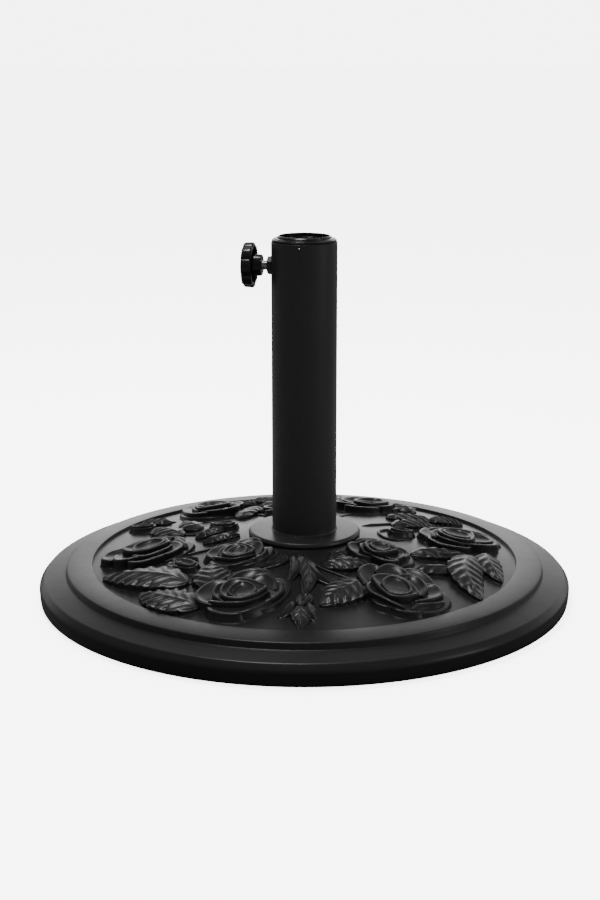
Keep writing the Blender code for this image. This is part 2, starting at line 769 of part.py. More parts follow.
add_shell()
add_core()
add_bottom_cover()
add_foot_pads()
add_centre_bolt()
add_centre_nut()
add_flange()
add_sleeve()
add_collar()
add_rivets()
add_clamp_nut()
add_stud()
add_stud_tip()
add_knob()
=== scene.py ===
import math

import bmesh
import bpy
import numpy as np
from mathutils import Matrix, Vector


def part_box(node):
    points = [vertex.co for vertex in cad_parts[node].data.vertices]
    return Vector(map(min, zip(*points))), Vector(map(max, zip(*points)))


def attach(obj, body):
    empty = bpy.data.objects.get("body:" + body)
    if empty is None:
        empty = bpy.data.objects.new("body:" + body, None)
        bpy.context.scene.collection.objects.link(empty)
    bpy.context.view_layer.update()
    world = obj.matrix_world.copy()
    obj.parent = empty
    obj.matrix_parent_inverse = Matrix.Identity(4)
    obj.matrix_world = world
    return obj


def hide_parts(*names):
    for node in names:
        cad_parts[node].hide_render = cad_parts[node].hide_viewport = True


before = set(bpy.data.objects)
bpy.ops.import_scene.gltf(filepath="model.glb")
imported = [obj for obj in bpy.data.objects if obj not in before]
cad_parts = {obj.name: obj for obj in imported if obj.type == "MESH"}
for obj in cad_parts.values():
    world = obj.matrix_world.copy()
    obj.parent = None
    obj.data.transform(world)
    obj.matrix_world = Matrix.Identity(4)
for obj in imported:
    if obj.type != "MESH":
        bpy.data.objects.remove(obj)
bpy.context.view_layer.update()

MM = 0.001
TURN = 2.0 * math.pi

# Sizes are in millimetres, and most of them come from the frame.


def box_mm(node):
    """The lowest and highest corner of a frame node's box."""
    low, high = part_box(node)
    return np.array(low) / MM, np.array(high) / MM


SHELL_LOW, SHELL_HIGH = box_mm("base_shell")
FLANGE_LOW, FLANGE_HIGH = box_mm("flange_plate")
SLEEVE_LOW, SLEEVE_HIGH = box_mm("pole_sleeve")
COLLAR_LOW, COLLAR_HIGH = box_mm("collar_insert")
NUT_LOW = box_mm("clamp_nut")[0]
STUD_LOW, STUD_HIGH = box_mm("clamp_stud")
KNOB_LOW, KNOB_HIGH = box_mm("knob")

BASE_RADIUS = SHELL_HIGH[0]
SHELL_FOOT = SHELL_LOW[2]
FLANGE_RADIUS = FLANGE_HIGH[0]
FLANGE_FOOT = FLANGE_LOW[2]
FLANGE_TOP = FLANGE_HIGH[2]
GAP = 0.3  # between pieces that touch
SEAT_HEIGHT = FLANGE_FOOT - GAP
SLEEVE_FOOT = SLEEVE_LOW[2]
SLEEVE_TOP = SLEEVE_HIGH[2]
SLEEVE_RADIUS = 27.2
SLEEVE_BORE = 25.7
CLAMP_HEIGHT = (STUD_LOW[2] + STUD_HIGH[2]) / 2.0
STUD_RADIUS = (STUD_HIGH[1] - STUD_LOW[1]) / 2.0
BOLT_HOLE = 5.5  # radius of the centre bolt's hole
SHARP_ANGLE = 38.0  # edges sharper than this stay crisp, in degrees

# The shell's turned form
SHELL_WALL = 3.0
RING_WIDTH = 19.8
RISER_WIDTH = 8.7
BAND_WIDTH = 17.0
CREASE_RADIUS = BASE_RADIUS - RING_WIDTH
BAND_RADIUS = CREASE_RADIUS - RISER_WIDTH
FIELD_RADIUS = BAND_RADIUS - BAND_WIDTH
EDGE_HEIGHT = 18.5
CREASE_HEIGHT = 22.0
BAND_HEIGHT = 28.5
BAND_CROWN = BAND_HEIGHT + 0.9
RISER_RADIUS = CREASE_RADIUS - 3.0
FIELD_EDGE_HEIGHT = 26.9
SEAT_MARGIN = 2.5  # how far the flat under the flange runs past it
SEAT_RADIUS = FLANGE_RADIUS + SEAT_MARGIN


def field_height(radius):
    """Height of the sloping field at this distance from the axis."""
    share = (radius - SEAT_RADIUS) / (FIELD_RADIUS - SEAT_RADIUS)
    return SEAT_HEIGHT + (FIELD_EDGE_HEIGHT - SEAT_HEIGHT) * np.clip(share, 0.0, 1.0)


# Meshes


def new_piece(name, points, faces, body, finish, sharp=SHARP_ANGLE):
    """A mesh from points in millimetres, riding on a body of the frame."""
    mesh = bpy.data.meshes.new(name)
    mesh.from_pydata((np.asarray(points, float) * MM).tolist(), [], faces)
    mesh.update()
    made = bpy.data.objects.new(name, mesh)
    bpy.context.scene.collection.objects.link(made)
    return settle(made, body, finish, sharp)


def settle(made, body, finish, sharp=SHARP_ANGLE):
    """Gives a piece its finish and shading, and its place on a body of the frame."""
    made.data.materials.clear()
    made.data.materials.append(finish)
    made.data.shade_smooth()
    made.data.set_sharp_from_angle(angle=math.radians(sharp))
    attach(made, body)
    return made


ARC_STEP = 12.0  # degrees between the points of a rounded corner
STRAIGHT = math.radians(89.0)  # half of a corner's angle past which it needs no rounding


def rounded(corners):
    """A closed outline from (radius, height, corner radius), with its corners as arcs."""
    outline = []
    count = len(corners)
    for i, (x, z, fillet) in enumerate(corners):
        here = np.array((x, z))
        before = np.array(corners[i - 1][:2]) - here
        after = np.array(corners[(i + 1) % count][:2]) - here
        reach = min(np.linalg.norm(before), np.linalg.norm(after))
        before = before / np.linalg.norm(before)
        after = after / np.linalg.norm(after)
        half = math.acos(np.clip(before @ after, -1.0, 1.0)) / 2.0
        if fillet <= 0.0 or half > STRAIGHT:
            outline.append(here)
            continue
        along = min(fillet / math.tan(half), reach * 0.48)
        fillet = along * math.tan(half)
        middle = here + (before + after) / np.linalg.norm(before + after) * fillet / math.sin(half)
        start = here + before * along - middle
        end = here + after * along - middle
        sweep = math.atan2(start[0] * end[1] - start[1] * end[0], start @ end)
        parts = max(2, math.ceil(abs(math.degrees(sweep)) / ARC_STEP))
        for k in range(parts + 1):
            turn = sweep * k / parts
            c, s = math.cos(turn), math.sin(turn)
            outline.append(middle + np.array((c * start[0] - s * start[1], s * start[0] + c * start[1])))
    return np.array(outline)


def ring_faces(around, along):
    """Quads on a closed tube of rings, each ring a closed outline."""
    faces = []
    for i in range(around):
        a, b = i * along, ((i + 1) % around) * along
        for j in range(along):
            k = (j + 1) % along
            faces.append((a + j, b + j, b + k, a + k))
    return faces


def turned_points(outline, steps, shape=None):
    """A closed outline turned round Z. shape(angle, radius, height) may change a ring."""
    rings = []
    for angle in np.arange(steps) * TURN / steps:
        radius, height = outline[:, 0], outline[:, 1]
        if shape:
            radius, height = shape(angle, radius, height)
        rings.append(np.stack((radius * math.cos(angle), radius * math.sin(angle), height), 1))
    return np.concatenate(rings)


def facing_out(obj):
    """Turns every face of a closed piece outwards."""
    bm = bmesh.new()
    bm.from_mesh(obj.data)
    bmesh.ops.recalc_face_normals(bm, faces=bm.faces)
    bm.to_mesh(obj.data)
    bm.free()
    return obj


def turned(name, corners, steps, body, finish, shape=None):
    """A closed outline from its corners, turned round Z into one piece."""
    outline = rounded(corners)
    points = turned_points(outline, steps, shape)
    return facing_out(new_piece(name, points, ring_faces(steps, len(outline)), body, finish))


def laid_on_clamp_axis(points):
    """Points made round Z, with Z as the distance from the sleeve's axis, laid along -X."""
    x, y, z = np.asarray(points).T
    return np.stack((-z, y, CLAMP_HEIGHT + x), 1)


def tube_faces(along, around):
    """Quads between rings that follow each other along an axis."""
    faces = []
    for i in range(along - 1):
        a, b = i * around, (i + 1) * around
        for j in range(around):
            k = (j + 1) % around
            faces.append((a + j, a + k, b + k, b + j))
    return faces


# Finishes


class Value:
    """A shader socket that is used in sums like a number."""

    def __init__(self, finish, socket):
        self.finish = finish
        self.socket = socket

    def sum(self, operation, first, second):
        return self.finish.node("ShaderNodeMath", {"operation": operation}, {0: first, 1: second})

    def __add__(self, other):
        return self.sum("ADD", self, other)

    def __radd__(self, other):
        return self.sum("ADD", other, self)

    def __rsub__(self, other):
        return self.sum("SUBTRACT", other, self)

    def __mul__(self, other):
        return self.sum("MULTIPLY", self, other)

    def __rmul__(self, other):
        return self.sum("MULTIPLY", other, self)


class Finish:
    """The nodes of one material, or of the world: colour, gloss and grain."""

    def __init__(self, owner):
        self.owner = owner
        owner.use_nodes = True
        self.tree = owner.node_tree
        self.tree.nodes.clear()

    def node(self, kind, settings=None, inputs=None, output=0):
        """Adds a node, links or sets its sockets, and gives one of its outputs."""
        made = self.tree.nodes.new(kind)
        for key, value in (settings or {}).items():
            setattr(made, key, value)
        for key, value in (inputs or {}).items():
            if isinstance(value, Value):
                self.tree.links.new(value.socket, made.inputs[key])
            else:
                made.inputs[key].default_value = value
        return Value(self, made.outputs[output]) if made.outputs else made

    def side(self, value, name):
        """Another output of the node that a value came from."""
        return Value(self, value.socket.node.outputs[name])

    def place(self):
        return self.node("ShaderNodeTexCoord", output="Object")

    def noise(self, scale, detail=3.0, roughness=0.5):
        sockets = {"Vector": self.place(), "Scale": scale, "Detail": detail, "Roughness": roughness}
        return self.node("ShaderNodeTexNoise", None, sockets)

    def cells(self, scale, feature="F1"):
        sockets = {"Vector": self.place(), "Scale": scale}
        return self.node("ShaderNodeTexVoronoi", {"feature": feature}, sockets)

    def band(self, value, low, high, start=0.0, end=1.0):
        """Moves a value from the range low to high into start to end, clamped."""
        sockets = {"Value": value, "From Min": low, "From Max": high, "To Min": start, "To Max": end}
        return self.node("ShaderNodeMapRange", {"clamp": True}, sockets)

    def mixed(self, share, first, second):
        sockets = {"Factor": share, "A": first, "B": second}
        return self.node("ShaderNodeMix", {"data_type": "RGBA"}, sockets, "Result")

    def bump(self, height, distance, strength=1.0, under=None):
        sockets = {"Height": height, "Distance": distance, "Strength": strength}
        if under:
            sockets["Normal"] = under
        return self.node("ShaderNodeBump", None, sockets)

    def done(self, **sockets):
        """Closes a material with one Principled shader."""
        named = {key.replace("_", " "): value for key, value in sockets.items()}
        self.end(self.node("ShaderNodeBsdfPrincipled", None, named))
        return self.owner

    def end(self, shader):
        """Leads a shader to the output of the material or the world."""
        kind = "World" if isinstance(self.owner, bpy.types.World) else "Material"
        self.node("ShaderNodeOutput" + kind, None, {"Surface": shader})


def new_finish(name):
    return Finish(bpy.data.materials.new(name))


def colour(level, tint=(1.0, 1.0, 1.0)):
    return (level * tint[0], level * tint[1], level * tint[2], 1.0)


BLACK_IOR = 1.38  # lower than bare plastic, for the dull skin of moulded and painted pieces


def satin_cover():
    """Black moulded cover: a fine grain, and slight flow marks that lighten its tone in random patches."""
    made = new_finish("satin_cover")
    flow = made.noise(14.0, 4.0, 0.6)
    grain = made.noise(900.0, 3.0, 0.55)
    peel = made.cells(420.0, "SMOOTH_F1")
    tone = made.mixed(flow, colour(0.0135), colour(0.0205, (1.0, 1.0, 0.98)))
    gloss = made.band(flow, 0.3, 0.7, 0.28, 0.34) + made.band(grain, 0.3, 0.7, -0.02, 0.03)
    surface = made.bump(grain * 0.6 + peel * 0.4, 0.00008, 0.55)
    surface = made.bump(made.noise(45.0, 2.0), 0.0006, 0.25, surface)
    return made.done(Base_Color=tone, Roughness=gloss, Normal=surface, IOR=BLACK_IOR)


def powder_coat():
    """Black powder coat on steel: orange peel, and gloss that varies a little."""
    made = new_finish("powder_coat")
    cloud = made.noise(20.0, 3.0, 0.5)
    peel = made.noise(650.0, 2.0, 0.45)
    tone = made.mixed(cloud, colour(0.031), colour(0.039))
    gloss = made.band(cloud, 0.3, 0.7, 0.30, 0.36) + made.band(peel, 0.3, 0.7, -0.02, 0.02)
    surface = made.bump(peel, 0.00006, 0.5)
    return made.done(Base_Color=tone, Roughness=gloss, Normal=surface, IOR=BLACK_IOR)


def moulded_plastic():
    """Black moulded plastic of the knob and the collar: a fine spark-eroded grain."""
    made = new_finish("moulded_plastic")
    cloud = made.noise(60.0, 3.0, 0.5)
    grain = made.noise(1800.0, 2.0, 0.6)
    tone = made.mixed(cloud, colour(0.010), colour(0.016))
    gloss = made.band(cloud, 0.3, 0.7, 0.17, 0.24) + made.band(grain, 0.3, 0.7, -0.02, 0.03)
    surface = made.bump(grain, 0.00003, 0.5)
    return made.done(Base_Color=tone, Roughness=gloss, Normal=surface, IOR=BLACK_IOR)


def bright_zinc():
    """Zinc plate with faint blotches and turning marks."""
    made = new_finish("bright_zinc")
    cloud = made.noise(180.0, 4.0, 0.6)
    tone = made.mixed(cloud, colour(0.50, (1.0, 1.0, 1.02)), colour(0.68, (1.0, 1.0, 0.98)))
    gloss = made.band(cloud, 0.3, 0.7, 0.18, 0.34)
    surface = made.bump(made.noise(2500.0, 2.0), 0.00002, 0.4)
    return made.done(Base_Color=tone, Roughness=gloss, Metallic=1.0, Normal=surface)


def cast_cement():
    """Rough cement with sand grains and pits."""
    made = new_finish("cast_cement")
    sand = made.noise(600.0, 5.0, 0.7)
    patch = made.noise(12.0, 4.0, 0.6)
    pits = made.band(made.cells(160.0), 0.05, 0.25)
    tone = made.mixed(made.band(sand * 0.5 + patch * 0.5, 0.3, 0.7), colour(0.30), colour(0.46))
    surface = made.bump(sand * 0.5 + pits * 0.5, 0.0005, 0.6)
    return made.done(Base_Color=tone, Roughness=made.band(sand, 0.2, 0.8, 0.85, 0.98), Normal=surface)


def pad_rubber():
    """Matt black rubber with a dusty bloom."""
    made = new_finish("pad_rubber")
    bloom = made.noise(90.0, 4.0, 0.6)
    tone = made.mixed(bloom, colour(0.018), colour(0.045))
    surface = made.bump(made.noise(1400.0, 3.0, 0.6), 0.00006, 0.6)
    return made.done(Base_Color=tone, Roughness=made.band(bloom, 0.3, 0.7, 0.72, 0.9), Normal=surface)


cover_finish = satin_cover()
steel_finish = powder_coat()
plastic_finish = moulded_plastic()
zinc_finish = bright_zinc()
cement_finish = cast_cement()
rubber_finish = pad_rubber()


# The cover


def build_cover():
    """The shell: seat, sloping field, raised band, riser and outer ring, and its inside."""
    edge = BASE_RADIUS
    corners = [
        (BOLT_HOLE, SEAT_HEIGHT, 0.0),
        (SEAT_RADIUS, SEAT_HEIGHT, 3.0),
        (FIELD_RADIUS, FIELD_EDGE_HEIGHT, 0.5),
        (FIELD_RADIUS + 1.0, BAND_CROWN, 1.0),
        (BAND_RADIUS - 4.0, BAND_HEIGHT, 120.0),
        (RISER_RADIUS - 0.8, BAND_HEIGHT - 1.2, 1.5),
        (RISER_RADIUS + 0.6, CREASE_HEIGHT + 0.1, 1.0),
        (edge - 4.5, EDGE_HEIGHT + 0.1, 2.4),
        (edge, EDGE_HEIGHT - 5.0, 5.0),
        (edge - 0.4, SHELL_FOOT + 4.0, 0.0),
        (edge - 1.0, SHELL_FOOT, 0.8),
        (edge - SHELL_WALL - 0.7, SHELL_FOOT, 0.4),
        (edge - SHELL_WALL, EDGE_HEIGHT - 6.0, 2.0),
        (CREASE_RADIUS - 1.0, CREASE_HEIGHT - SHELL_WALL - 0.5, 1.0),
        (BAND_RADIUS - 1.5, BAND_HEIGHT - SHELL_WALL, 2.0),
        (FIELD_RADIUS, FIELD_EDGE_HEIGHT - SHELL_WALL, 2.0),
        (SEAT_RADIUS, SEAT_HEIGHT - SHELL_WALL, 2.0),
        (BOLT_HOLE, SEAT_HEIGHT - SHELL_WALL, 0.0),
    ]
    cover = turned("cover", corners, 384, "base", cover_finish)
    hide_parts("base_shell")


# The relief: every height in it is measured straight up from the sloping field

# How a lip rolls over and its side drops: how far out, and how far down
LIP_ROLL = ((0.34, 0.05), (0.62, 0.17), (0.84, 0.38), (0.98, 0.68), (1.02, 1.05))
STEEP_DRAFT = 0.10  # run of a side for each unit of its height
SOFT_DRAFT = 0.45
FOOT_RADIUS = 0.8
FOOT_SINK = 0.15  # how far a foot ends below the field
ALL_SOFT = 180.0  # no edge of the relief is crisp


class Relief:
    """Collects raised forms that stand on the field, and makes one piece of them."""

    def __init__(self):
        self.points = []
        self.faces = []
        self.count = 0

    def add(self, x, y, height, faces):
        """Adds points at these heights over the field, and the faces between them."""
        radius = np.hypot(x, y)
        points = np.stack((x, y, field_height(radius) + height), 1)
        self.points.append(points)
        self.faces += [tuple(self.count + i for i in face) for face in faces]
        self.count += len(points)

    def stand(self, x, y, height, faces, border, draft=STEEP_DRAFT):
        """Adds a top surface, and the side that drops from its border to the field."""
        count = len(border)
        edge_x, edge_y, edge_height = x[border], y[border], height[border]
        along_x = np.roll(edge_x, -1) - np.roll(edge_x, 1)
        along_y = np.roll(edge_y, -1) - np.roll(edge_y, 1)
        length = np.hypot(along_x, along_y) + 1e-9
        out_x, out_y = along_y / length, -along_x / length
        last_out, last_down = LIP_ROLL[-1]
        foot_start = np.maximum(edge_height - last_down - FOOT_RADIUS, 0.05)
        steps = [(out, edge_height - down) for out, down in LIP_ROLL]
        side_out = last_out + draft * foot_start
        steps += [
            (last_out + draft * foot_start * 0.4, edge_height - last_down - foot_start * 0.5),
            (side_out, np.minimum(FOOT_RADIUS, edge_height * 0.5)),
            (side_out + FOOT_RADIUS * 0.3, np.minimum(FOOT_RADIUS * 0.3, edge_height * 0.2)),
            (side_out + FOOT_RADIUS, np.full(count, -FOOT_SINK)),
        ]
        rows = [np.asarray(border)]
        xs, ys, heights = [x], [y], [height]
        start = len(x)
        for out, level in steps:
            xs.append(edge_x + out_x * out)
            ys.append(edge_y + out_y * out)
            heights.append(level)
            rows.append(start + np.arange(count))
            start += count
        faces = list(faces)
        for upper, lower in zip(rows, rows[1:]):
            for i in range(count):
                j = (i + 1) % count
                faces.append((upper[i], lower[i], lower[j], upper[j]))
        self.add(np.concatenate(xs), np.concatenate(ys), np.concatenate(heights), faces)

    def make(self, name):
        points = np.concatenate(self.points)
        return new_piece(name, points, self.faces, "base", cover_finish, ALL_SOFT)


# Distances from a petal's root to its lip, as shares
PETAL_RINGS = np.array((0.22, 0.40, 0.55, 0.67, 0.76, 0.83, 0.885, 0.92, 0.945, 0.975, 1.0))[:, None]
LAND_START = 0.945  # the lip is level from here out
LIP_WAVE = 0.15  # how far a lip rises and falls along itself
LIP_DROP = 1.3  # from the middle of an open lip to its two ends
SPAN_POINTS = 10  # points on a curve between two of the points that it is drawn through
OUTER_PETAL_HEIGHT = 6.9  # petals lower than this have soft sides


def smooth_line(points, closed=False):
    """A smooth curve through points, open or closed."""
    points = np.array(points, float)
    if closed:
        points = np.concatenate((points[-1:], points, points[:2]))
    else:
        before, after = 2.0 * points[:1] - points[1:2], 2.0 * points[-1:] - points[-2:-1]
        points = np.concatenate((before, points, after))
    line = []
    for a, b, c, d in zip(points, points[1:], points[2:], points[3:]):
        for t in np.arange(SPAN_POINTS) / SPAN_POINTS:
            bend = (2.0 * a - 5.0 * b + 4.0 * c - d) * t**2 + (3.0 * b - a - 3.0 * c + d) * t**3
            line.append(b + 0.5 * ((c - a) * t + bend))
    if not closed:
        line.append(points[-2])
    return np.array(line)


def add_petal(relief, place, form):
    """One petal: a sheet from its root to its lip, with a bowl behind the lip."""
    root, height, bowl, closed, lip = form
    rose_x, rose_y, turn, scale, mirror = place
    c, s = math.cos(turn), math.sin(turn)
    plan = np.concatenate(([root], smooth_line(lip, closed))) * (scale, scale * mirror)
    plan = plan @ np.array(((c, s), (-s, c))) + (rose_x, rose_y)
    root, edge = plan[0], plan[1:]
    reach = edge - root
    beyond = np.roll(reach, -1, axis=0)
    if np.sum((reach[:, 0] * beyond[:, 1] - reach[:, 1] * beyond[:, 0])[:-1]) < 0.0:
        edge = edge[::-1]
    count = len(edge)
    share = np.linspace(-1.0, 1.0, count)
    lip_height = height * (0.5 + 0.5 * scale) + LIP_WAVE * np.sin(5.0 * share + root[0])
    if not closed:
        lip_height -= LIP_DROP * np.abs(share) ** 3
    climb = np.minimum(PETAL_RINGS / LAND_START, 1.0)
    rise = 0.5 * climb**1.7 + 0.5 * climb**7
    level = lip_height - bowl * scale * (1.0 - rise)
    x = np.concatenate(([root[0]], (root[0] + PETAL_RINGS * (edge[:, 0] - root[0])).ravel()))
    y = np.concatenate(([root[1]], (root[1] + PETAL_RINGS * (edge[:, 1] - root[1])).ravel()))
    height = np.concatenate(([np.mean(level[0])], level.ravel()))
    spans = count if closed else count - 1
    faces = [(0, 1 + j, 1 + (j + 1) % count) for j in range(spans)]
    for i in range(len(PETAL_RINGS) - 1):
        a, b = 1 + i * count, 1 + (i + 1) * count
        for j in range(spans):
            k = (j + 1) % count
            faces.append((a + j, b + j, b + k, a + k))
    last = 1 + (len(PETAL_RINGS) - 1) * count
    border = [last + j for j in range(count)]
    if not closed:
        inner = [1 + i * count for i in range(len(PETAL_RINGS) - 1)]
        border += [start + count - 1 for start in reversed(inner)] + [0] + inner
    draft = STEEP_DRAFT if lip_height.max() > OUTER_PETAL_HEIGHT else SOFT_DRAFT
    relief.stand(x, y, height, faces, np.array(border), draft)


# Petals of a rose, from the lowest to the bud: the root, the height of the lip, the depth of the
# bowl behind it, whether the lip closes on itself, and the points that the lip runs through
ALMOND_ROSE = (
    ((6, 0), 3.8, 0.6, False, ((4, -26), (12, -22), (24, -13), (32, 2), (34, 16), (30, 27), (20, 30))),
    ((-12, 2), 7.2, 3.4, False, ((-14, 22), (-26, 22), (-35, 12), (-38, 0), (-34, -10), (-24, -14))),
    ((0, 8), 8.8, 5.0, False, ((-15, 17), (-11, 26), (-4, 33), (5, 36), (12, 33), (17, 25))),
    ((8, 4), 8.2, 4.6, False, ((2, 20), (7, 27), (14, 28), (20, 22), (24, 14), (25, 6))),
    ((8, -2), 7.6, 3.8, False, ((22, 17), (27, 16), (30, 9), (29, 0), (24, -8), (18, -12))),
    ((-2, -6), 6.2, 2.2, False, ((-27, -16), (-23, -25), (-14, -29), (-3, -30), (2, -26))),
    ((2, -6), 6.6, 2.2, False, ((-6, -27), (3, -27), (12, -21), (20, -12), (25, -4))),
    ((-8, 2), 8.4, 3.2, False, ((-12, 17), (-21, 14), (-24, 4), (-22, -6), (-15, -13))),
    ((-2, 0), 8.6, 2.4, False, ((-26, -11), (-18, -16), (-8, -17), (2, -16), (12, -9), (19, 1))),
    (
        (-1, 3),
        10.2,
        3.0,
        True,
        ((17, 4), (10, 11), (1, 16), (-8, 18), (-15, 13), (-18, 3), (-16, -8), (-9, -13), (1, -13), (10, -7)),
    ),
    ((-2, 1), 10.0, 2.6, True, ((9, 1), (5, 9), (-3, 13), (-10, 6), (-12, -3), (-7, -10), (2, -10), (8, -6))),
    ((-3, 0), 9.0, 1.8, False, ((4, 4), (-2, 8), (-8, 3), (-8, -4), (-3, -7), (2, -5))),
)
OPEN_ROSE = (
    ((8, -4), 3.4, 0.6, False, ((8, -30), (20, -29), (32, -24), (40, -10), (40, 4), (34, 14))),
    ((-4, -8), 4.6, 1.0, False, ((-20, -12), (-17, -20), (-9, -25), (-3, -23))),
    ((0, -8), 4.8, 1.0, False, ((-6, -23), (-2, -29), (6, -32), (14, -31), (20, -26))),
    ((-8, 8), 7.4, 4.2, False, ((-25, 8), (-29, 20), (-27, 30), (-22, 37), (-15, 38), (-9, 32))),
    ((6, 8), 7.8, 4.4, False, ((4, 32), (12, 36), (20, 34), (26, 27), (30, 18), (31, 10))),
    ((0, 8), 8.8, 5.0, False, ((-15, 27), (-9, 35), (-2, 38), (5, 35), (10, 28), (12, 20))),
    ((8, 0), 7.6, 3.8, False, ((23, 14), (31, 12), (35, 5), (35, -4), (30, -11), (22, -15), (14, -16))),
    ((6, -6), 6.6, 2.4, False, ((10, -27), (14, -24), (22, -20), (30, -17), (36, -12))),
    ((4, 2), 8.6, 4.8, False, ((2, 22), (10, 24), (17, 22), (22, 14), (24, 3), (20, -8))),
    ((-3, -2), 7.8, 2.8, False, ((-20, 9), (-23, 1), (-21, -8), (-14, -15), (-6, -22), (4, -28))),
    (
        (-1, 0),
        9.4,
        2.4,
        True,
        (
            (16, -9),
            (13, 3),
            (8, 12),
            (0, 18),
            (-11, 18),
            (-18, 13),
            (-16, 3),
            (-12, -7),
            (-6, -15),
            (3, -17),
            (11, -13),
        ),
    ),
    (
        (0, 0),
        9.6,
        3.8,
        True,
        ((11, -5), (10, 5), (5, 13), (-2, 16), (-8, 11), (-11, 3), (-8, -8), (-1, -13), (7, -12)),
    ),
    ((2, -2), 7.6, 1.4, False, ((-6, -3), (-3, -9), (3, -9), (7, -3), (5, 4))),
)

# Where each rose's middle stands, its turn in degrees, scale, whether it is mirrored, and petals
ROSES = (
    (-26, -135, 6, 1.0, 1, ALMOND_ROSE),
    (90, -106, 10, 1.0, 1, OPEN_ROSE),
    (128, 38, 66, 0.96, -1, ALMOND_ROSE),
    (42, 130, 130, 0.98, 1, OPEN_ROSE),
    (-104, 92, 246, 0.96, 1, ALMOND_ROSE),
    (-128, -34, -30, 0.94, -1, OPEN_ROSE),
    (-44, -66, -12, 0.72, 1, ALMOND_ROSE),
    (70, -36, 14, 0.72, -1, ALMOND_ROSE),
    (-20, 74, 110, 0.74, 1, OPEN_ROSE),
)

# A rosebud in its sepals, pointing along +X
ROSEBUD = (
    ((0, 0), 4.4, 0.8, True, ((12, 1), (5, 6), (-5, 5), (-8, 0), (-5, -5), (5, -5))),
    ((-1, 1), 6.2, 1.4, True, ((14, 0), (6, 4), (-3, 4), (-6, 0), (-2, -3), (6, -3))),
    ((0, 1), 6.6, 1.0, False, ((-5, 2), (-1, 4), (5, 3), (11, 1))),
)
ROSEBUDS = (
    (-84, -78, 150, 1.1, 1, ROSEBUD),
    (21, -134, -95, 0.9, 1, ROSEBUD),
    (118, -14, 25, 1.1, -1, ROSEBUD),
    (-70, 12, 160, 1.1, 1, ROSEBUD),
    (78, 24, 20, 0.9, 1, ROSEBUD),
    (8, 158, 100, 1.1, 1, ROSEBUD),
    (-150, 42, 170, 1.0, 1, ROSEBUD),
)


def build_roses():
    """The large roses, the small ones round the flange, and the buds."""
    for name, plants in (("outer_roses", ROSES[:6]), ("inner_roses", ROSES[6:]), ("rosebuds", ROSEBUDS)):
        relief = Relief()
        for x, y, turn, scale, mirror, petals in plants:
            for form in petals:
                add_petal(relief, (x, y, math.radians(turn), scale, mirror), form)
        relief.make(name)


STEM_SECTION = np.linspace(0.0, math.pi, 11)
STEM_TAPER = 0.4  # how much of its width a stem loses on its way


def add_stem(relief, width, line):
    """A half-round stem that thins towards its far end."""
    path = smooth_line(line)
    along = np.gradient(path, axis=0)
    along /= np.linalg.norm(along, axis=1)[:, None]
    share = np.linspace(0.0, 1.0, len(path))
    end = np.clip(np.minimum(share, 1.0 - share) * 10.0, 0.1, 1.0) ** 0.5
    half = width / 2.0 * (1.0 - STEM_TAPER * share) * end
    across = half[:, None] * np.cos(STEM_SECTION)
    x = path[:, :1] - along[:, 1:] * across
    y = path[:, 1:] + along[:, :1] * across
    height = 1.25 * half[:, None] * np.sin(STEM_SECTION) ** 0.8 - FOOT_SINK
    rows = len(STEM_SECTION)
    faces = []
    for i in range(len(path) - 1):
        for j in range(rows - 1):
            a = i * rows + j
            faces.append((a, a + 1, a + rows + 1, a + rows))
    relief.add(x.ravel(), y.ravel(), height.ravel(), faces)


# Width of each stem, and the points that it runs through
STEMS = (
    (4.4, ((4, -52), (10, -76), (14, -100), (20, -126), (21, -140))),
    (3.4, ((8, -56), (22, -74), (40, -84), (58, -92), (70, -98))),
    (3.4, ((-12, -54), (-24, -84), (-30, -100), (-32, -112))),
    (3.6, ((-34, -44), (-52, -86), (-66, -102), (-84, -108))),
    (3.2, ((-50, -100), (-60, -130), (-58, -152))),
    (3.4, ((-50, -30), (-82, -44), (-100, -50), (-112, -44))),
    (3.2, ((-56, -10), (-80, 0), (-104, 6), (-122, 22))),
    (3.4, ((50, -20), (92, -30), (112, -20), (132, 2))),
    (3.2, ((96, -72), (116, -52), (136, -40), (146, -20))),
    (3.6, ((88, 42), (74, 38), (62, 22), (66, 8), (78, 6), (88, 16))),
    (3.4, ((46, 30), (70, 60), (92, 78), (110, 70))),
    (3.4, ((20, 52), (30, 84), (38, 106))),
    (3.4, ((-30, 44), (-58, 66), (-80, 78))),
    (3.2, ((-22, 96), (-24, 124), (-8, 150))),
    (3.2, ((-86, 116), (-70, 140), (-52, 150))),
    (3.2, ((-128, 66), (-150, 60), (-160, 40))),
)


def build_stems():
    stems = Relief()
    for width, line in STEMS:
        add_stem(stems, width, line)
    stems.make("rose_stems")


LEAF_STEPS = 84  # points along a leaf
LEAF_ROWS = 13  # rows of points on each half of a leaf
LEAF_FOLD = 0.8  # of every leaf along its midrib, besides its own
EDGE_DROP = 0.9  # how far the edge curls down
VEIN_RISE = 1.1  # of the ridges along the veins, on a leaf of VEIN_WIDTH or wider
VEIN_WIDTH = 26.0
MIDRIB_RISE = 0.5
MIDRIB_WIDTH = 0.8
SCALLOP_DEPTH = 0.16  # against the leaf's half width
VEIN_SLANT = 0.45


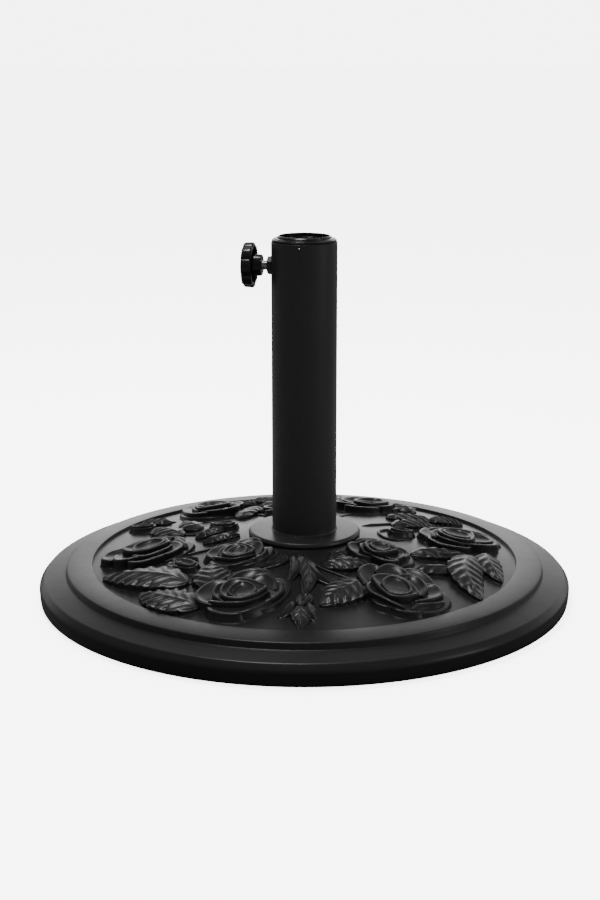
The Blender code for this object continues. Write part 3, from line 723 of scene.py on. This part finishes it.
def add_leaf(relief, form):
    """A pointed leaf along a curved midrib, pleated between its veins, with a scalloped edge."""
    base, tip, width, bend, height, fold, veins = form
    base, tip = np.array(base, float), np.array(tip, float)
    length = float(np.linalg.norm(tip - base))
    side = np.array((base[1] - tip[1], tip[0] - base[0])) / length
    control = (base + tip) / 2.0 + side * bend * length
    u = np.linspace(0.0, 1.0, LEAF_STEPS)
    rib = ((1 - u) ** 2)[:, None] * base + (2 * u * (1 - u))[:, None] * control + (u**2)[:, None] * tip
    along = np.gradient(rib, axis=0)
    along /= np.linalg.norm(along, axis=1)[:, None]
    across = np.stack((-along[:, 1], along[:, 0]), 1)
    row = np.linspace(-1.0, 1.0, 2 * LEAF_ROWS - 1)
    v = np.sign(row) * np.abs(row) ** 0.9
    spread = np.sin(math.pi * np.clip(u, 0.0, 1.0) ** 0.78) ** 0.75
    spread = np.maximum(spread, 0.02)
    phase = (veins * u) % 1.0
    lobe = np.sqrt(np.maximum(1.0 - (2.0 * phase - 1.0) ** 2, 0.0))
    scallop = 1.0 - SCALLOP_DEPTH * (1.0 - lobe) * np.clip(spread * 2.0, 0.0, 1.0)
    half = width / 2.0 * spread * scallop
    x = rib[:, 0:1] + across[:, 0:1] * half[:, None] * v
    y = rib[:, 1:2] + across[:, 1:2] * half[:, None] * v
    slant = VEIN_SLANT * width / length
    pleat = veins * (u[:, None] - slant * np.abs(v) * spread[:, None] + slant)
    pleat = np.abs(np.sin(math.pi * pleat)) ** 2.2
    reach = np.abs(v) * np.ones_like(x)
    fade = np.clip(np.minimum(u, 1.0 - u)[:, None] * 6.0, 0.0, 1.0)
    level = height * (0.62 + 0.38 * np.sin(math.pi * np.clip(u, 0, 1) ** 0.9)[:, None])
    shape = level + (fold + LEAF_FOLD) * (1.0 - reach) * fade - EDGE_DROP * reach**4
    vein = VEIN_RISE * min(width / VEIN_WIDTH, 1.0) * (pleat - 0.4)
    shape += vein * np.clip(reach * 3.0, 0.0, 1.0) * fade
    shape += MIDRIB_RISE * np.exp(-((reach * half[:, None] / MIDRIB_WIDTH) ** 2)) * fade
    rows = len(row)
    faces = []
    for i in range(LEAF_STEPS - 1):
        for j in range(rows - 1):
            a = i * rows + j
            faces.append((a, a + rows, a + rows + 1, a + 1))
    right = [i * rows for i in range(LEAF_STEPS)]
    top = [(LEAF_STEPS - 1) * rows + j for j in range(1, rows)]
    left = [i * rows + rows - 1 for i in range(LEAF_STEPS - 2, -1, -1)]
    bottom = list(range(rows - 2, 0, -1))
    relief.stand(x.ravel(), y.ravel(), np.maximum(shape, 0.6).ravel(), faces, right + top + left + bottom)


# Base and tip of each leaf in plan, its width, how far it bends sideways, its height, how far its
# middle stands over its edges, and its veins
LEAVES = (
    ((-60, -150), (-112, -124), 33, 0.06, 5.6, 0.4, 6),
    ((-78, -110), (-152, -88), 36, -0.05, 6.4, 1.6, 6),
    ((-52, -120), (-62, -76), 30, 0.12, 5.6, 0.4, 5),
    ((-104, -84), (-80, -62), 15, 0.1, 4.6, 1.0, 4),
    ((62, -92), (35, -138), 31, 0.05, 5.0, 0.6, 6),
    ((6, -64), (21, -120), 13, 0.16, 5.0, 1.4, 5),
    ((12, -66), (38, -104), 9, -0.28, 4.6, 1.4, 4),
    ((0, -64), (4, -104), 8, 0.2, 4.0, 1.2, 4),
    ((-4, -62), (-22, -84), 8, 0.25, 3.6, 1.0, 3),
    ((18, -142), (24, -172), 15, 0.1, 3.8, 0.8, 4),
    ((12, -136), (6, -160), 9, 0.2, 3.4, 0.8, 3),
    ((25, -136), (34, -160), 9, -0.2, 3.4, 0.8, 3),
    ((26, -72), (64, -60), 22, -0.05, 4.6, 0.6, 5),
    ((30, -66), (46, -48), 12, 0.1, 4.2, 0.8, 4),
    ((144, 0), (156, -89), 28, -0.22, 6.2, 1.2, 7),
    ((154, 12), (169, -44), 21, -0.12, 5.6, 1.4, 5),
    ((94, -26), (142, -4), 20, 0.1, 5.2, 1.2, 5),
    ((132, -38), (98, -56), 15, 0.1, 4.2, 0.8, 4),
    ((-108, 0), (-142, 30), 22, 0.0, 5.2, 1.0, 5),
    ((-92, -10), (-70, 4), 16, 0.0, 4.6, 1.0, 4),
    ((-82, -26), (-54, -16), 14, 0.0, 4.2, 1.0, 4),
    ((-96, 16), (-118, 44), 18, 0.0, 4.8, 1.0, 4),
    ((72, 48), (104, 74), 20, 0.15, 4.8, 1.0, 5),
    ((62, 84), (100, 98), 24, -0.2, 5.2, 1.0, 5),
    ((98, 96), (128, 104), 20, 0.1, 5.0, 1.0, 5),
    ((80, 128), (62, 160), 22, 0.1, 5.0, 1.0, 5),
    ((6, 128), (-8, 166), 24, 0.0, 5.2, 1.0, 5),
    ((-36, 96), (-58, 118), 22, 0.0, 5.0, 1.0, 5),
    ((-40, 134), (-74, 150), 24, 0.0, 5.2, 1.0, 5),
    ((-62, 44), (-52, 92), 18, 0.2, 4.8, 1.0, 4),
    ((-132, 60), (-160, 62), 20, 0.1, 4.8, 1.0, 4),
    ((-96, 126), (-66, 128), 16, 0.0, 4.6, 1.0, 4),
)


def build_leaves():
    leaves = Relief()
    for form in LEAVES:
        add_leaf(leaves, form)
    leaves.make("rose_leaves")


# The flange and the sleeve


FLANGE_SHEET = 2.0


def build_flange():
    """A pressed plate with its rim rolled down on the cover."""
    corners = [
        (BOLT_HOLE, FLANGE_TOP, 0.3),
        (FLANGE_RADIUS - 1.2, FLANGE_TOP, 3.2),
        (FLANGE_RADIUS, FLANGE_FOOT + 1.6, 1.2),
        (FLANGE_RADIUS - 0.4, FLANGE_FOOT, 0.4),
        (FLANGE_RADIUS - 2.0, FLANGE_FOOT, 0.3),
        (FLANGE_RADIUS - 4.6, FLANGE_TOP - FLANGE_SHEET, 0.8),
        (BOLT_HOLE, FLANGE_TOP - FLANGE_SHEET, 0.0),
    ]
    flange = turned("flange", corners, 256, "base", steel_finish)
    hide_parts("flange_plate")


DRILL_SIDES = 64


def drill_for_stud(piece):
    """Cuts the clamp's hole through the wall on the knob's side."""
    drill_mesh = bpy.data.meshes.new("drill")
    bm = bmesh.new()
    radius = (STUD_RADIUS + GAP) * MM
    depth = SLEEVE_RADIUS * MM
    sizes = {"radius1": radius, "radius2": radius, "depth": depth}
    bmesh.ops.create_cone(bm, cap_ends=True, segments=DRILL_SIDES, **sizes)
    laid = Matrix.Translation((-depth, 0.0, CLAMP_HEIGHT * MM)) @ Matrix.Rotation(TURN / 4.0, 4, "Y")
    bmesh.ops.transform(bm, matrix=laid, verts=bm.verts)
    bm.to_mesh(drill_mesh)
    bm.free()
    drill = bpy.data.objects.new("drill", drill_mesh)
    bpy.context.scene.collection.objects.link(drill)
    cut = piece.modifiers.new("clamp_hole", "BOOLEAN")
    cut.object = drill
    cut.operation = "DIFFERENCE"
    cut.solver = "EXACT"
    bpy.context.view_layer.update()
    evaluated = piece.evaluated_get(bpy.context.evaluated_depsgraph_get())
    bored = bpy.data.meshes.new_from_object(evaluated)
    piece.modifiers.clear()
    piece.data = bored
    piece.data.set_sharp_from_angle(angle=math.radians(SHARP_ANGLE))
    bpy.data.objects.remove(drill)
    bpy.data.meshes.remove(drill_mesh)


def build_sleeve():
    """The round tube, with a weld bead round its foot."""
    top, foot = SLEEVE_TOP, SLEEVE_FOOT
    corners = [
        (SLEEVE_BORE, top, 0.3),
        (SLEEVE_RADIUS, top, 0.35),
        (SLEEVE_RADIUS, foot + 1.5, 0.6),
        (SLEEVE_RADIUS + 1.4, foot, 0.5),
        (SLEEVE_BORE, foot, 0.0),
    ]
    sleeve = turned("sleeve", corners, 256, "base", steel_finish)
    drill_for_stud(sleeve)
    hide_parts("pole_sleeve")


MOUTH_RADIUS = 20.6
MOUTH_DEPTH = 3.5
BORE_RADIUS = 19.6
COLLAR_RADIUS = 26.6
SKIRT_RADIUS = SLEEVE_BORE - GAP


def build_collar():
    """The stepped plastic mouth of the sleeve: a bevelled lip, and two low steps outside it."""
    top = COLLAR_HIGH[2]
    seat = SLEEVE_TOP + GAP
    corners = [
        (MOUTH_RADIUS, top - MOUTH_DEPTH, 0.3),
        (MOUTH_RADIUS, top, 0.1),
        (20.9, top, 0.2),
        (22.2, top - 0.9, 0.1),
        (22.3, top - 1.8, 0.2),
        (24.7, top - 2.0, 0.3),
        (24.8, top - 2.5, 0.15),
        (26.1, top - 2.7, 0.3),
        (26.2, top - 3.1, 0.15),
        (COLLAR_RADIUS, top - 3.2, 0.25),
        (COLLAR_RADIUS, seat, 0.25),
        (SKIRT_RADIUS, seat, 0.0),
        (SKIRT_RADIUS, COLLAR_LOW[2], 0.3),
        (BORE_RADIUS, COLLAR_LOW[2], 0.5),
        (BORE_RADIUS, top - MOUTH_DEPTH, 0.5),
    ]
    collar = turned("collar", corners, 192, "base", plastic_finish)
    drill_for_stud(collar)
    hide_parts("collar_insert")


# The clamp


THREAD_PITCH = 1.25
THREAD_DEPTH = 0.68
THREAD_RUN_OUT = 1.2
THREAD_SIDES = 48
RINGS_PER_TURN = 12
NOSE_LENGTH = 3.0
NOSE_RADIUS = 2.0


def build_stud():
    """A metric thread wound round the stud, with a bare nose at the tip."""
    start, end = -STUD_HIGH[0], -STUD_LOW[0]
    nose = start + NOSE_LENGTH
    angle = np.arange(THREAD_SIDES) * TURN / THREAD_SIDES

    def ring(radius, along):
        return np.stack((radius * np.cos(angle), radius * np.sin(angle), np.full(THREAD_SIDES, along)), 1)

    count = int((end - nose) / THREAD_PITCH * RINGS_PER_TURN)
    rings = []
    for radius, along in ((0.05, start), (1.6, start), (NOSE_RADIUS, start + 0.4), (NOSE_RADIUS, nose)):
        rings.append(ring(radius, along))
    for along in nose + (end - nose) * np.arange(count + 1) / count:
        phase = (along / THREAD_PITCH + angle / TURN) % 1.0
        tooth = np.clip(1.25 * (1.0 - np.abs(2.0 * phase - 1.0)), 0.06, 1.0)
        run_out = np.clip((along - nose) / THREAD_RUN_OUT, 0.0, 1.0)
        rings.append(ring(STUD_RADIUS - THREAD_DEPTH * (1.0 - tooth * run_out), along))
    points = laid_on_clamp_axis(np.concatenate(rings))
    faces = tube_faces(len(rings), THREAD_SIDES)
    stud = new_piece("stud", points, faces, "clamp_screw", zinc_finish, 60.0)
    facing_out(stud)
    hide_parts("clamp_stud")


NUT_HOLE = 4.1
NUT_FLAT = 6.5  # from the nut's axis to a flat
NUT_SIDES = 144
CRISP = 25.0  # edges of the nut sharper than this stay crisp, in degrees


def build_clamp_nut():
    """A thin hexagon nut with chamfered corners, turned and then cut to six flats."""
    outer = -NUT_LOW[0]
    inner = SLEEVE_RADIUS - 0.4
    corner = NUT_FLAT / math.cos(TURN / 12.0)

    def hexagon(angle, radius, height):
        off = angle % (TURN / 6.0) - TURN / 12.0
        return np.minimum(radius, NUT_FLAT / math.cos(off)), height

    corners = [
        (NUT_HOLE, outer, 0.2),
        (NUT_FLAT + 0.1, outer, 0.2),
        (corner + 0.1, outer - 0.75, 0.2),
        (corner + 0.1, inner, 0.0),
        (NUT_HOLE, inner, 0.0),
    ]
    outline = rounded(corners)
    points = laid_on_clamp_axis(turned_points(outline, NUT_SIDES, hexagon))
    faces = ring_faces(NUT_SIDES, len(outline))
    nut = new_piece("nut", points, faces, "base", steel_finish, CRISP)
    facing_out(nut)
    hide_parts("clamp_nut")


KNOB_LOBES = 8
KNOB_SIDES = 240
LOBE_DIP = 1.8
LOBE_START = 12.0  # radius at which the lobes begin
RIM_THICKNESS = 8.8
RIM_HOLLOW = 6.0
STUD_SOCKET = 4.3


def build_knob():
    """A lobed rim on a hub, hollow on the side that faces the sleeve."""
    face, hub = -KNOB_LOW[0], -KNOB_HIGH[0]
    rim_inner = face - RIM_THICKNESS
    rim = KNOB_HIGH[1]

    def lobed(angle, radius, height):
        wave = abs(math.cos(KNOB_LOBES * angle / 2.0)) ** 0.75
        pull = LOBE_DIP * (1.0 - wave)
        share = np.clip((radius - LOBE_START) / (rim - LOBE_START), 0.0, 1.0)
        return radius - pull * share, height

    corners = [
        (0.3, face - 1.0, 0.0),
        (13.0, face - 1.0, 1.0),
        (14.5, face, 1.0),
        (rim - 0.4, face, 2.2),
        (rim, rim_inner, 1.8),
        (rim - 3.6, rim_inner, 0.8),
        (rim - 4.2, rim_inner + RIM_HOLLOW, 1.0),
        (9.6, rim_inner + RIM_HOLLOW, 1.0),
        (9.3, rim_inner, 0.8),
        (8.7, hub, 0.8),
        (STUD_SOCKET, hub, 0.3),
        (STUD_SOCKET, face - 3.0, 0.2),
        (0.3, face - 3.0, 0.0),
    ]
    outline = rounded(corners)
    points = laid_on_clamp_axis(turned_points(outline, KNOB_SIDES, lobed))
    faces = ring_faces(KNOB_SIDES, len(outline))
    knob = new_piece("grip_knob", points, faces, "clamp_screw", plastic_finish)
    facing_out(knob)
    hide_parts("knob")


RIVET_SIDES = 40
RIVET_RINGS = 9
RIVET_FILL = 0.98  # share of the frame's rivet that the dome fills
DOME_END = 0.02  # radius of the flat on top of the dome, against the rivet's


def build_rivets():
    """Domed rivet heads under the collar, in front and behind."""
    angle = np.arange(RIVET_SIDES) * TURN / RIVET_SIDES
    climb = np.linspace(0.0, TURN / 4.0, RIVET_RINGS)
    rings = [(max(math.cos(turn), DOME_END), 2.0 * math.sin(turn) - 1.0) for turn in climb]
    for node in ("collar_rivet_front", "collar_rivet_back"):
        low, high = box_mm(node)
        middle, half = (low + high) / 2.0, (high - low) / 2.0
        outward = math.copysign(1.0, middle[1])
        points = []
        for wide, out in rings:
            depth = np.full(RIVET_SIDES, out * outward)
            ring = np.stack((wide * np.cos(angle), depth, wide * np.sin(angle)), 1)
            points.append(ring * half * RIVET_FILL + middle)
        last = (len(rings) - 1) * RIVET_SIDES
        faces = [tuple(range(RIVET_SIDES)), tuple(range(last, last + RIVET_SIDES))]
        faces += tube_faces(len(rings), RIVET_SIDES)
        head = new_piece(node + "_head", np.concatenate(points), faces, "base", zinc_finish)
        facing_out(head)
        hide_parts(node)


def dress_frame_nodes():
    """The pieces under and inside the base keep their shapes and take a finish."""
    finishes = {
        "ballast_core": cement_finish,
        "bottom_cover": cover_finish,
        "centre_bolt": zinc_finish,
        "plain_washer": zinc_finish,
        "spring_washer": zinc_finish,
        "centre_nut": zinc_finish,
        "stud_tip": plastic_finish,
    }
    for number in range(1, 7):
        finishes[f"foot_pad_{number}"] = rubber_finish
    for node, finish in finishes.items():
        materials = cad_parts[node].data.materials
        materials.clear()
        materials.append(finish)


# The studio


FLOOR_SIZE = 30.0
FLOOR_LEVELS = (0.16, 0.50, 3.6)  # close to the object (darker there as a painted shade of the object's shadow, seen by things in their reflections), further away, and as the eye sees it
FLOOR_GLOW = 4.6  # what the floor gives off towards the eye, so that it meets the background
BACKDROP_LEVEL = 6.0  # brightness of the far background to the eye
ROOM_LEVEL = 0.16
CEILING_LEVEL = 0.12  # more than the room
REAR_LEVEL = 0.25  # of the rear wall over its white part
WALL_LEVEL = 2.15  # of the white part low down on the rear wall
SIDE_LEVEL = 0.22  # low down on the right


def build_floor():
    """White paper that looks brighter to the eye than it is to the things that stand on it, with a painted
    shade close to the object as they see it.
    """
    bm = bmesh.new()
    bmesh.ops.create_grid(bm, x_segments=1, y_segments=1, size=FLOOR_SIZE)
    mesh = bpy.data.meshes.new("floor")
    bm.to_mesh(mesh)
    bm.free()
    floor = bpy.data.objects.new("floor", mesh)
    bpy.context.scene.collection.objects.link(floor)
    paper = Finish(bpy.data.materials.new("white_paper"))
    seen = paper.node("ShaderNodeLightPath", output="Is Camera Ray")
    where = paper.node("ShaderNodeTexCoord", output="Object")
    split = paper.node("ShaderNodeSeparateXYZ", None, {"Vector": where})
    x, y = paper.side(split, "X"), paper.side(split, "Y")
    painted_shade_near, far, bright = (
        paper.node("ShaderNodeBsdfDiffuse", None, {"Color": colour(level)}) for level in FLOOR_LEVELS
    )
    glow = paper.node("ShaderNodeEmission", None, {"Color": colour(1.0), "Strength": FLOOR_GLOW})
    for_eye = paper.node("ShaderNodeAddShader", None, {0: bright, 1: glow})
    # Darker close to the object: a painted shade standing in for the object's shadow on the floor, seen only
    # in reflections
    away = paper.band(x * x + y * y, 0.08, 0.22)
    for_object = paper.node("ShaderNodeMixShader", None, {0: away, 1: painted_shade_near, 2: far})
    paper.end(paper.node("ShaderNodeMixShader", None, {0: seen, 1: for_object, 2: for_eye}))
    floor.data.materials.append(paper.owner)


def build_surround():
    """A white wall low down behind the object, and a dim room beside, in front and above."""
    world = bpy.data.worlds.new("studio")
    world.use_nodes = True
    room = Finish(world)
    way = room.node("ShaderNodeTexCoord", output="Generated")
    split = room.node("ShaderNodeSeparateXYZ", None, {"Vector": way})
    x, y, z = (room.side(split, axis) for axis in "XYZ")
    behind = room.band(y, 0.30, 0.90)
    right = room.band(x, 0.2, 0.9)
    aside = x + 0.16 * y
    ends = room.band(aside * aside, 0.025, 0.065)
    low = room.band(z, 0.30, 0.52, 1.0, 0.0)
    middle = room.band(z, 0.45, 0.90, 1.0, 0.0)
    wall = low * (WALL_LEVEL - 1.30 * right) * (1.0 - 0.68 * ends)
    ceiling = ROOM_LEVEL + CEILING_LEVEL * room.band(z, 0.3, 0.9)
    light = ceiling + behind * (REAR_LEVEL * middle + wall) + SIDE_LEVEL * right * low
    seen = room.node("ShaderNodeLightPath", output="Is Camera Ray")
    strength = light + seen * (BACKDROP_LEVEL - light)
    room.end(room.node("ShaderNodeBackground", None, {"Color": colour(1.0), "Strength": strength}))
    bpy.context.scene.world = world


def build_light(name, place, aim, size, radiance):
    """A softbox, as bright all over as this."""
    data = bpy.data.lights.new(name, "AREA")
    data.shape = "RECTANGLE"
    data.size, data.size_y = size
    data.energy = radiance * math.pi * size[0] * size[1]
    lamp = bpy.data.objects.new(name, data)
    bpy.context.scene.collection.objects.link(lamp)
    lamp.location = place
    lamp.rotation_euler = (Vector(aim) - Vector(place)).to_track_quat("-Z", "Y").to_euler()


def build_studio():
    """The floor, the walls and two softboxes."""
    build_floor()
    build_surround()
    build_light("softbox_above", (-0.25, 0.1, 1.7), (0.0, 0.0, 0.1), (0.5, 0.36), 23.0)
    build_light("softbox_right", (2.0, -0.5, 0.9), (0.0, 0.0, 0.15), (0.6, 1.0), 2.5)


# The camera, in metres and degrees
CAMERA_AWAY = 1.3006
CAMERA_HEIGHT = 0.4532
CAMERA_TURN = math.radians(9.0)
CAMERA_DIP = math.radians(14.32)


def build_camera():
    """Stands in front and a little to the right, looking slightly down."""
    data = bpy.data.cameras.new("view")
    data.sensor_width = 36.0
    data.lens = 63.68
    data.shift_x = -0.0048
    data.shift_y = 0.0017
    camera = bpy.data.objects.new("view", data)
    bpy.context.scene.collection.objects.link(camera)
    aside, back = CAMERA_AWAY * math.sin(CAMERA_TURN), CAMERA_AWAY * math.cos(CAMERA_TURN)
    camera.location = (aside, -back, CAMERA_HEIGHT)
    camera.rotation_euler = (TURN / 4.0 - CAMERA_DIP, 0.0, CAMERA_TURN)
    bpy.context.scene.camera = camera


build_cover()
build_roses()
build_stems()
build_leaves()
build_flange()
build_sleeve()
build_collar()
build_stud()
build_clamp_nut()
build_knob()
build_rivets()
dress_frame_nodes()
build_studio()
build_camera()

bpy.context.view_layer.update()
